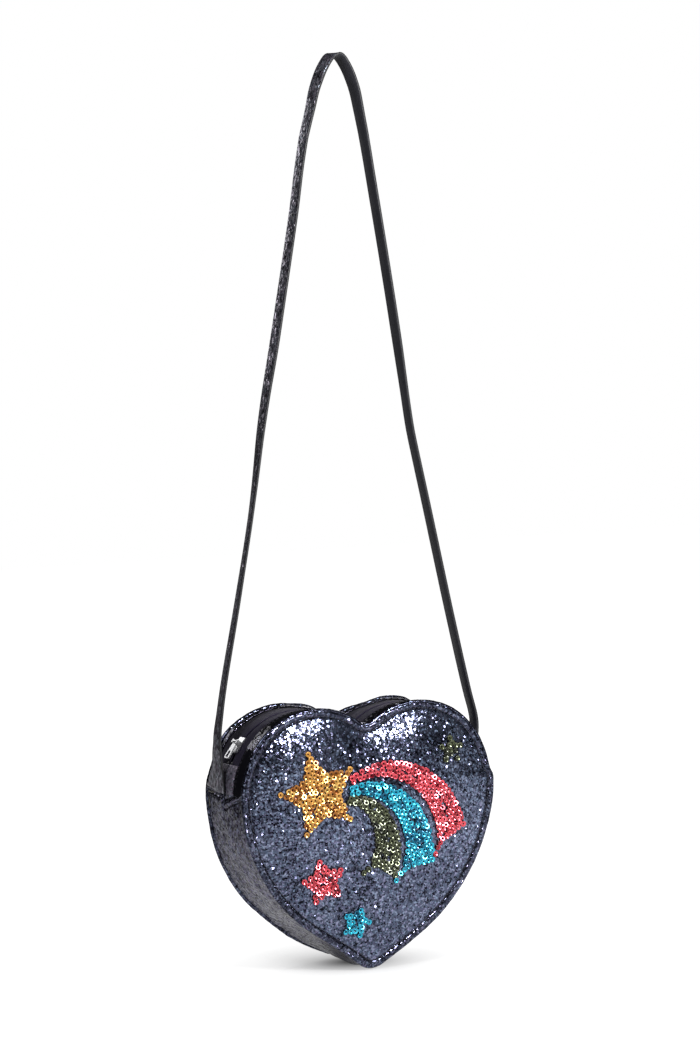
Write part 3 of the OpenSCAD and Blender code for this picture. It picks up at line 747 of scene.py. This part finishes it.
def zip_strip(name, face):
    """The glitter strip beside the zip, with its edge folded under and sewn."""
    wave = 0.16 * soft_noise(TOP_RUN, 0, 91 + face, 6, 40.0, 8.0)
    if face < 0:
        edge, profile = 13.5, [(-0.5, BAND_EDGE), (0.1, 25.4), (0.35, 23.0), (0.3, 20.0), (0.05, 17.0)]
    else:
        edge, profile = 20.0, [(-0.5, BAND_EDGE), (0.05, 25.9), (0.2, 24.8), (0.2, 23.9), (0.05, 23.1)]
    profile += [(-0.12, edge + 2.1), (0.0, edge + 1.1), (-0.1, edge + 0.4), (-0.45, edge),
                (-0.9, edge + 0.2), (-1.1, edge + 1.1), (-1.15, edge + 4), (-1.15, BAND_EDGE)]
    profile = np.array(profile)
    # Beside the zip's left end the strip sinks away from the rim in a deep crease
    sink = 1.1 * bell(TOP[:, 0], -90, 26) * bell(TOP[:, 1], 134, 17)

    def section(i):
        shape = profile.copy()
        shape[:8, 0] += wave[i] * np.array([0, 0.4, 1, 1, 0.7, 0.4, 0.5, 0.4])
        shape[1:5, 0] -= sink[i] * np.array([0.5, 1, 0.6, 0.1])
        shape[:, 1] *= face
        return shape

    piece = swept(name, along_outline(TOP, section), [GLITTER_STRIP, CREASE_SHADE_PAINT])
    # Painted shade: the faces in the deep crease beside the zip's left end take the near-black material
    for polygon in piece.data.polygons:
        x, y, z = (v / MM for v in polygon.center)
        if face < 0 and x < -50 and z + HANG_Z < 146 + sin(y * 0.9) and -25.2 < y < -13:
            polygon.material_index = 1
    side = ZIP_SIDE[face]
    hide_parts(side + "_zip_strip", side + "_lip_strip")
    bend_with_lip(piece)
    places = []
    line = resample(TOP, int(TOP_RUN[-1] / 3.1))
    for x, z, nx, nz in line[2:-2]:
        places.append(([x - nx * 0.1, face * (edge + 2.1), z - nz * 0.1], [nz, 0, -nx], [nx, 0, nz]))
    seam = stitches(name + "_stitches", places, 2.2, 0.26, THREAD)
    bend_with_lip(seam)


def zip_tape(name, face):
    wave = 0.1 * soft_noise(TOP_RUN, 0, 101 + face, 5, 60.0, 12.0)
    edge = 17.0 if face < 0 else 23.0
    profile = np.array([(-1.2, edge), (-1.2, 10.0), (-1.15, 5.0), (-1.1, 2.4), (-1.05, 1.5),
                        (-1.3, TAPE_SLIT), (-1.7, 1.4), (-1.75, 5.0), (-1.8, edge)])

    def section(i):
        shape = profile.copy()
        shape[1:8, 0] += wave[i] * 0.6
        shape[:, 1] *= face
        return shape

    piece = swept(name, along_outline(TOP, section), [TAPE])
    side = ZIP_SIDE[face]
    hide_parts(side + "_zip_tape", side + "_lip_tape")
    bend_with_lip(piece)


def zip_coil(name, face):
    """A row of nylon loops under the tape's edge, as one long spiral thread."""
    fine = upper_run(SEAM_Z, 3000)
    ends = []
    for x, angle in ((-LOBE_X, COIL_FROM), (LOBE_X, COIL_TO)):
        place = [x + LOBE_R * cos(angle), LOBE_Z + LOBE_R * sin(angle)]
        ends.append(int(np.argmin(((fine[:, :2] - place) ** 2).sum(1))))
    path = fine[ends[0]:ends[1] + 1]
    turns, per_turn = int(run_along(path)[-1] / 1.35), 8
    path = resample(path, turns * per_turn + 1)
    phase = np.arange(len(path)) / per_turn * tau + (pi if face > 0 else 0)
    depth = -2.55 + 0.5 * np.cos(phase)
    across = face * (1.22 + 0.8 * np.sin(phase))
    centre = np.stack([path[:, 0] + path[:, 2] * depth, across, path[:, 1] + path[:, 3] * depth], 1)
    forward = unit(np.gradient(centre, axis=0))
    out = np.stack([path[:, 2], np.zeros(len(path)), path[:, 3]], 1)
    side = unit(np.cross(forward, out))
    up = np.cross(side, forward)
    ring = np.linspace(0, tau, 5, endpoint=False)
    round_it = np.cos(ring)[None, :, None] * side[:, None] + np.sin(ring)[None, :, None] * up[:, None]
    rows = centre[:, None] + 0.27 * round_it
    piece = swept(name, rows, [COIL])
    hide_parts(ZIP_SIDE[face] + "_zip_coil", ZIP_SIDE[face] + "_lip_coil")
    bend_with_lip(piece)


for face, name in ZIP_SIDE.items():
    zip_strip(name + "_strip", face)
    zip_tape(name + "_tape", face)
    zip_coil(name + "_coil_loops", face)


def end_tab(side):
    """A folded glitter tab over the zip's end, with rounded edges and a corner that curls a little."""
    count, w = 34, 13.0
    angles = np.linspace(-0.01, radians(23), count)
    grow = np.sqrt(np.clip(1 - ((np.arange(count) - count + 4) / 3.5).clip(0) ** 2, 0.05, 1))
    ys = np.linspace(-w + 0.4, w - 0.4, 27)
    rows = []
    for i, a in enumerate(angles):
        up = i / (count - 1)
        n = np.array([side * cos(a), sin(a)])
        centre = np.array([side * LOBE_X, LOBE_Z + 3 * (1 - up)]) + n * LOBE_R
        # Two slanting creases and a few wrinkles between them
        crease = -0.55 * bell(ys, 4 - 6 * up, 1.1) - 0.45 * bell(ys, -6 + 3 * up, 0.9)
        crease += 0.4 * soft_noise(ys, 7 * up, 141, 6, 12.0, 3.0)
        lift = np.clip(0.75 + crease * min(1, 6 * up), 0.1, 1.15) * grow[i] * (1 - 0.6 * up ** 3)
        shape = [(-1.15, -w), (0.2 * grow[i], -w)] + list(zip(lift, ys)) + [(0.2 * grow[i], w), (-1.15, w)]
        rows.append([[centre[0] + n[0] * o, y, centre[1] + n[1] * o] for o, y in shape])
    which = "left" if side < 0 else "right"
    piece = swept(which + "_end_tab", np.array(rows), [GLITTER_TAB])
    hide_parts(which + "_zip_tab")
    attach(piece, "bag")


end_tab(-1)
end_tab(1)


# strap
STRAP_W, STRAP_T, FACE_T = 10.0, 1.8, 1.0
APEX_Z, APEX_R, SHOULDER_R = 588.9, 6.5, 55.0
SHOULDER_LEAN, FOOT_LEAN, FOOT_BEND_R = radians(40), radians(6), 60.0
SEAM_PROUD, FOOT_GAP, FOOT_STRAIGHT, FOOT_RISE, FOOT_SUNK = 0.8, 0.3, 7, 26.7, 3.5


def strap_line():
    """Centre line of the right leg from its foot to the top, as x and z."""
    foot_x = HALF_W + SEAM_PROUD + FOOT_GAP + STRAP_T / 2
    foot_z = SEAM_Z + SEAM_PROUD
    foot_start = foot_z + FOOT_STRAIGHT
    fold_z = APEX_Z - APEX_R
    sx, sz = (APEX_R - SHOULDER_R) * cos(SHOULDER_LEAN), fold_z + (APEX_R - SHOULDER_R) * sin(SHOULDER_LEAN)
    cx, cz = foot_x + FOOT_RISE * tan(FOOT_LEAN), foot_start + FOOT_RISE
    span = (cx - sx, cz - sz)
    lean = atan2(span[1], span[0]) + acos(SHOULDER_R / hypot(*span))
    back = FOOT_BEND_R * tan((lean + FOOT_LEAN) / 2)
    bx = cx - back * sin(FOOT_LEAN) - FOOT_BEND_R * cos(FOOT_LEAN)
    bz = cz - back * cos(FOOT_LEAN) + FOOT_BEND_R * sin(FOOT_LEAN)
    return np.concatenate([
        [(foot_x, foot_z - FOOT_SUNK), (foot_x, foot_z), (foot_x, foot_start)],
        arc_points(bx, bz, FOOT_BEND_R, -FOOT_LEAN, lean, 12)[0],
        arc_points(sx, sz, SHOULDER_R, lean, SHOULDER_LEAN, 16)[0],
        arc_points(0, fold_z, APEX_R, SHOULDER_LEAN, pi / 2, 14)[0][1:],
    ])


# How far each leg hangs to the right of its drawn line, and how far it is twisted, by height
LEFT_SHIFT = {130: 0.1, 163: 1.0, 178: 0.6, 195: 0.9, 232: 2.4, 275: 3.6, 295: 3.9, 318: 3.6, 345: 2.7,
              370: 2.8, 400: 4.0, 460: 4.9, 490: 5.2, 515: 4.6, 535: 4.9, 555: 7.1, 572: 8.2, 592: 7.6}
RIGHT_SHIFT = {130: 0.4, 147: 1.9, 163: -0.6, 195: -1.6, 232: -2.4, 295: -3.2, 345: -4.1, 370: -2.5,
               400: -0.6, 430: 1.0, 460: 2.4, 490: 3.6, 535: 5.4, 572: 5.6, 592: 7.4}
LEFT_TWIST = {150: 0.0, 170: -0.14, 240: -0.2, 265: -0.24, 300: -0.24, 330: -0.12, 355: 0.0, 400: 0.1,
              520: 0.06, 550: 0.12, 575: 0.3, 592: 0.3}
RIGHT_TWIST = {150: 0.0, 370: 0.03, 400: -0.08, 520: -0.1, 548: -0.16, 575: -0.3, 592: -0.3}


def soften(values, times):
    """Even out a row of values in place, its ends held."""
    for _ in range(times):
        values[1:-1] = (values[:-2] + 2 * values[1:-1] + values[2:]) / 4


def by_height(z, is_right, right, left):
    """The value at each height, from one table for the right leg and one for the left leg."""
    at_right, at_left = (np.interp(z, list(table), list(table.values())) for table in (right, left))
    return np.where(is_right, at_right, at_left)


def strap():
    """One flat band of glitter sheet on a smooth backing, over the whole loop, slightly twisted."""
    right = strap_line()
    whole = np.concatenate([right, (right[::-1] * [-1, 1])[1:]])
    run = run_along(whole)
    at = np.unique(np.concatenate([np.linspace(0, run[-1], 420),
                                   np.linspace(run[-1] / 2 - 60, run[-1] / 2 + 60, 90)]))
    x, z = np.interp(at, run, whole[:, 0]), np.interp(at, run, whole[:, 1])
    soften(x, 3)
    soften(z, 3)
    is_right = at < run[-1] / 2
    shift = by_height(z, is_right, RIGHT_SHIFT, LEFT_SHIFT)
    twist = by_height(z, is_right, RIGHT_TWIST, LEFT_TWIST)
    soften(shift, 16)
    soften(twist, 16)
    x += shift
    centre = np.stack([x, np.zeros(len(x)), z], 1)
    along = unit(np.gradient(centre, axis=0))
    width = np.tile([0.0, 1.0, 0.0], (len(x), 1))
    out = np.cross(width, along) * -1
    out *= np.sign((out[:, 0] * np.where(is_right, 1, -1) + out[:, 2] * 0.2))[:, None]
    turned_w = width * np.cos(twist)[:, None] + out * np.sin(twist)[:, None]
    turned_o = out * np.cos(twist)[:, None] - width * np.sin(twist)[:, None]
    # The foot spreads towards the back, where it lies down on the side of the bag
    spread = np.interp(z, [118, 124, 130, 138, 150], [19.5, 16.0, 9.5, 4.5, 0.0])
    h, t = STRAP_W / 2, STRAP_T / 2
    shape = np.array([
        (-h + 0.25, t - 0.12), (-h + 1.2, t - 0.16), (-h + 2.2, t), (-h + 3.5, t + 0.05), (0, t + 0.1),
        (1.2, t + 0.1), (2.0, t + 0.05), (h - 2.2, t), (h - 1.6, t - 0.06), (h - 1.2, t - 0.16),
        (h - 0.25, t - 0.12), (h, t - 0.45), (h, t - FACE_T), (h - 0.05, -t + 0.3), (h - 0.35, -t),
        (0, -t - 0.02), (-h + 0.35, -t), (-h + 0.05, -t + 0.3), (-h, t - FACE_T), (-h, t - 0.45)])
    wide = shape[None, :, 0] + spread[:, None] * np.clip(shape[None, :, 0] / h, 0, 1)
    # Wrinkles over the foot
    low = np.clip((142 - z) / 10, 0, 1)[:, None]
    wrinkles = 0.3 * low * soft_noise(wide, 0.35 * z[:, None], 161, 6, 12.0, 4.0)
    thick = shape[None, :, 1] - 0.1 * np.clip(wide - h, 0, None) + wrinkles
    rows = centre[:, None] + wide[..., None] * turned_w[:, None] + thick[..., None] * turned_o[:, None]
    rows[..., 2] += (2.7 + 0.11 * rows[..., 1]) * np.clip((124 - rows[..., 2]) / 8.7, 0, 1)
    # Face, edge, backing and the other edge, round the section
    slots = [0] * 10 + [2] * 3 + [1] * 4 + [2] * 3
    piece = swept("strap_band", rows, [GLITTER_STRAP, BACKING, EDGE_PAINT], slots, soft=False)
    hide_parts("strap_face", "strap_backing", "left_strap_end", "right_strap_end")
    places = []
    carried = np.concatenate([centre, turned_w, turned_o, along, spread[:, None]], 1)
    for m in np.arange(6.0, run[-1] - 6.0, 3.3):
        values = np.array([np.interp(m, at, column) for column in carried.T])
        c, w, o, g = values[:-1].reshape(4, 3)
        for reach in (1.2 - h, h - 1.2 + values[-1]):
            places.append((c + w * reach + o * (t - 0.1 - 0.1 * max(reach - h, 0)), g, o))
    seam = stitches("strap_band_stitches", places, 2.3, 0.24, THREAD, soft=False)
    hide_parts("strap_stitching")
    for part in (piece, seam):
        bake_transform(part)


strap()


# sequin motifs
HEART_W, HEART_H = 2 * HALF_W, 168.0


def star(across, up, radius, first_deg):
    """Corners of a star, its points and the notches between them."""
    out = []
    for i in range(10):
        a, r = radians(first_deg + 36 * i), radius * HEART_W * (0.5 if i % 2 else 1)
        out.append((across * HEART_W + r * cos(a), up * HEART_H + r * sin(a)))
    return np.array(out)


def tail(shares, degrees, notch=0.55, steps=18):
    """Outline of an arc that grows wider, with a notched end."""
    cx, cz, r0, r1, w0, w1 = shares
    first, outer_end, inner_end, notch_at = degrees

    def at(a, out):
        k = (a - first) / (outer_end - first)
        r = r0 + (r1 - r0) * k + out * (w0 + (w1 - w0) * k) / 2
        return (cx + r * cos(radians(a))) * HEART_W, cz * HEART_H + r * HEART_W * sin(radians(a))

    return np.array([at(a, 1) for a in np.linspace(first, outer_end, steps)] + [at(notch_at, -notch)]
                    + [at(a, -1) for a in np.linspace(inner_end, first, steps)])


MOTIFS = {
    "gold_star": ("gold", star(-0.217, 0.687, 0.158, 104)),
    "red_star": ("red", star(-0.208, 0.35, 0.088, 103)),
    "turquoise_star": ("turquoise", star(-0.08, 0.178, 0.062, 72)),
    "green_star": ("green", star(0.326, 0.811, 0.05, 90)),
    "red_arc": ("red", tail((0.017, 0.474, 0.259, 0.298, 0.024, 0.124), (114, 6, -16, -2))),
    "turquoise_arc": ("turquoise", tail((-0.086, 0.48, 0.194, 0.2715, 0.03, 0.125), (93, -15, -43, -24))),
    "green_arc": ("green", tail((-0.153, 0.533, 0.1246, 0.2317, 0.025, 0.122), (67, -38, -59, -41))),
}
SEQUIN_R, SEQUIN_HOLE = 1.9, 0.62
# How far apart the sequins of the small motifs are sewn, in millimetres
PITCHES = {"green_star": 3.1, "turquoise_star": 2.6, "red_star": 2.7}
# The share of sequins of a kind that lies so that it flashes
FLASHES = {"green": 0.08, "turquoise": 0.06}
# Sections from the hole to the rim and back: distance from the middle, and height
CUPPED = [(SEQUIN_HOLE, -0.13), (0.76, -0.04), (1.25, 0.16), (1.75, 0.42), (SEQUIN_R, 0.46),
          (SEQUIN_R, 0.32), (SEQUIN_HOLE, -0.22)]
FLAT = [(SEQUIN_HOLE, -0.03), (0.72, 0.02), (1.7, 0.05), (SEQUIN_R, 0.0), (SEQUIN_R, -0.08),
        (SEQUIN_HOLE, -0.12)]
# The disc under each sequin that carries the painted shade of the gaps
SEQUIN_SHADE_DISC = [(0.05, 0.03), (SEQUIN_R + 0.25, 0.0), (SEQUIN_R + 0.25, -0.12), (0.05, -0.1)]
KEY_LAMP = np.array([0.43, -1.322, 0.128])


def within(points, loop):
    inside = np.zeros(len(points), bool)
    for (x0, z0), (x1, z1) in zip(loop, np.roll(loop, -1, axis=0)):
        crosses = (z0 > points[:, 1]) != (z1 > points[:, 1])
        inside ^= crosses & (points[:, 0] < (x1 - x0) * (points[:, 1] - z0) / (z1 - z0 + 1e-12) + x0)
    return inside


def loop_distance(points, loop):
    best = np.full(len(points), 1e9)
    for a, b in zip(loop, np.roll(loop, -1, axis=0)):
        ab = b - a
        t = np.clip(((points - a) @ ab) / (ab @ ab), 0, 1)
        best = np.minimum(best, norm(points - (a + t[:, None] * ab), axis=1))
    return best


def sequin_places(loop, pitch):
    """Sequins as they are sewn: one at each point, then along the edge, then over the middle."""
    picked = []
    corner_inset, least_depth = (2.5, 0.5) if pitch < 2.8 else (1.5, 0.9)
    before, after = np.roll(loop, 1, axis=0) - loop, np.roll(loop, -1, axis=0) - loop
    for corner, a, b in zip(loop, before, after):
        a, b = unit(a), unit(b)
        bisector = (a + b) / max(norm(a + b), 1e-9)
        if a @ b > -0.6 and within((corner + bisector)[None], loop)[0]:
            picked.append(corner + bisector * corner_inset)
    low, high = loop.min(0), loop.max(0)
    spots = rng.uniform(low, high, (int(np.prod(high - low) * 7), 2))
    depth = loop_distance(spots, loop)
    keep = within(spots, loop) & (depth > least_depth)
    spots, depth = spots[keep], depth[keep]
    for spot in spots[np.argsort(np.floor(depth / 0.8) + rng.uniform(0, 0.9, len(depth)))]:
        if not picked or np.min(norm(np.array(picked) - spot, axis=1)) > pitch * rng.uniform(0.9, 1.05):
            picked.append(spot)
    return picked


def halfway(point):
    """The normal that sends the key lamp's light from a point into the camera."""
    at = lifted(point)
    to_lamp, to_eye = KEY_LAMP - at, np.array(scene.camera.matrix_world.translation) - at
    return unit(to_lamp) + unit(to_eye)


def sequin_motif(name, kind, loop):
    tree = trees[-1]
    material, ground = SEQUINS[kind]
    a = np.linspace(0, tau, 12, endpoint=False)
    vertices, faces, slots = [], [], []
    for x, z in sequin_places(loop, PITCHES.get(name, 2.9)):
        found = surface_at(tree, x, z, -1)
        if not found:
            continue
        spot, normal = np.array([x, found[0], z]), found[1]
        lean = normal + rng.normal(0, 0.09, 3) - np.array([0, 0, 0.06])
        flashes = rng.random() < FLASHES.get(kind, 0.14) and name != "green_star"
        if flashes:
            lean = halfway(spot + rng.normal(0, 30, 3))
        lean = unit(lean)
        side = unit(np.cross(lean, [0.0, 0.0, 1.0]))
        up = np.cross(side, lean)
        turn = a + rng.uniform(0, tau)
        size = rng.uniform(0.93, 1.06)
        centre = spot + normal * rng.uniform(0.4, 1.1)
        ring = np.cos(turn)[:, None] * side + np.sin(turn)[:, None] * up
        # A disc under each sequin, dark in the sequins' hue: painted shade of the gaps
        base = spot + normal * rng.uniform(0.16, 0.24)
        for shape, start, slot in ((FLAT if flashes else CUPPED, centre, 0), (SEQUIN_SHADE_DISC, base, 1)):
            rows = [start + r * size * ring + lift * (normal if slot else lean) for r, lift in shape]
            more = lattice(np.array(rows), True, len(vertices))
            faces += more
            slots += [slot] * len(more)
            vertices += list(np.concatenate(rows))
    piece = make_object(name + "_sequins", lifted(vertices), faces, [material, ground], slots)
    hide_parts(name)
    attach(piece, "bag")


for motif, (kind, loop) in MOTIFS.items():
    sequin_motif(motif, kind, loop)


# metal pieces from model.glb, and the stiffener
def dress(node, material, bevel_mm=0.0):
    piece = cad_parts[node]
    piece.data.materials.clear()
    piece.data.materials.append(material)
    if bevel_mm:
        edge = piece.modifiers.new("edges", "BEVEL")
        edge.width, edge.segments, edge.harden_normals = bevel_mm * MM, 2, False
        edge.limit_method, edge.angle_limit = "ANGLE", radians(40)


BEVELS = {"slider_body": 0.25, "slider_bail": 0.2, "pull_tab": 0.25, "top_stops": 0.15, "bottom_stop": 0.15}
for node, bevel in BEVELS.items():
    dress(node, NICKEL, bevel)
dress("gusset_stiffener", BOARD)


# floor, background and light
# The room's brightness by its height, and the paper's glow by the distance from the bag in millimetres; the
# glow is dimmed near the bag, which paints its shadow on the floor
ROOM_SHADE = {0.0: 0.38, 0.02: 0.2, 0.08: 0.02, 1.0: 0.02}
PAPER_GLOW_AND_PAINTED_SHADOW = {6: 0.08, 15: 0.24, 25: 0.45, 35: 0.59, 45: 0.7, 60: 0.81, 85: 0.91, 140: 1.0}
FLOOR_HALF, FLOOR_GAP = 4.0, 0.0002
LAMPS_AIM = Vector((0, 0, -0.48))
# Place, size in metres and power in watts
LAMPS = {
    "key": (KEY_LAMP, 0.35, 22),
    "fill": ((-1.15, -0.8, 1.0), 0.7, 13),
    "back": ((-0.3, 1.4, 0.25), 0.5, 1.6),
    "far side": ((1.0, 1.1, 0.5), 0.6, 5),
}


def make_world():
    """White to the camera. All else is lit by a pale room whose ceiling and left side are darker."""
    world = bpy.data.worlds.new("studio")
    world.use_nodes = True
    w = Nodes(world.node_tree)
    room = w.node("SeparateXYZ", {0: w.node("TexCoord").outputs["Generated"]}).outputs
    shade = w.ramp(room["Z"], [(at, (v, v, v)) for at, v in ROOM_SHADE.items()])
    level = w.math("MULTIPLY", shade, w.map_range(room["X"], 0.0, 0.45, 0.2, 1.0))
    lit = w.node("Background", {"Color": (1, 1, 1, 1), "Strength": level}).outputs[0]
    shown = w.tree.nodes["Background"]
    shown.inputs["Color"].default_value = (1, 1, 1, 1)
    seen = w.node("LightPath").outputs["Is Camera Ray"]
    both = w.node("MixShader", {0: seen, 1: lit, 2: shown.outputs[0]}).outputs[0]
    w.put(w.tree.nodes["World Output"].inputs["Surface"], both)
    scene.world = world


def make_floor():
    """White paper. It glows a little where it is seen; the glow is dimmed just round the bag, painting the
    shadow there, and to glossy rays it glows brighter to the right and near the bag, painted light in the
    bag's reflections.
    """
    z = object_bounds()[0][2] - FLOOR_GAP
    corners = [(x * FLOOR_HALF, y * FLOOR_HALF, z) for x, y in ((-1, -1), (1, -1), (1, 1), (-1, 1))]
    floor = make_object("floor", corners, [(0, 1, 2, 3)], [])
    s = Shader("floor")
    rays = s.node("LightPath").outputs
    # To glossy rays the paper glows, brighter to the right and near the bag: painted light in the bag's
    # reflections
    sideways = s.map_range(s.node("SeparateXYZ", {0: s.where}).outputs["X"], -0.3, 0.3, 0.16, 0.6)
    flat = s.vector("MULTIPLY", s.vector("SUBTRACT", s.where, (0.004, 0.008, 0.0)), (0.9, 1.0, 0.0))
    reach = s.node("VectorMath", {0: flat}, operation="LENGTH").outputs["Value"]
    near = s.map_range(reach, 0.1, 1.0, 1.55, 0.83)
    painted_reflection_glow = s.math("MULTIPLY", rays["Is Glossy Ray"], s.math("MULTIPLY", sideways, near))
    seen = s.math("MAXIMUM", rays["Is Camera Ray"], painted_reflection_glow)
    seen = s.math("MAXIMUM", seen, rays["Is Transmission Ray"])
    # Painted shadow: the paper's glow is weakest at the bag and full 140 mm away
    widest = max(PAPER_GLOW_AND_PAINTED_SHADOW)
    stops = [(r / widest, (v, v, v)) for r, v in PAPER_GLOW_AND_PAINTED_SHADOW.items()]
    glow = s.ramp(s.math("MULTIPLY", reach, 1000 / widest), stops)
    s.set(Base_Color=(0.35, 0.35, 0.35, 1), Roughness=0.9, Emission_Color=(1, 1, 1, 1),
          Emission_Strength=s.math("MULTIPLY", seen, glow))
    floor.data.materials.append(s.material)


def make_lamps():
    for name, (place, size, power) in LAMPS.items():
        data = bpy.data.lights.new(name, "AREA")
        data.shape, data.size, data.energy = "DISK", size, power
        made = linked(name, data)
        made.location = place
        made.rotation_euler = (LAMPS_AIM - Vector(place)).to_track_quat("-Z", "Y").to_euler()


make_world()
make_floor()
make_lamps()
bpy.context.view_layer.update()
bpy.context.scene.view_settings.view_transform = "Standard"
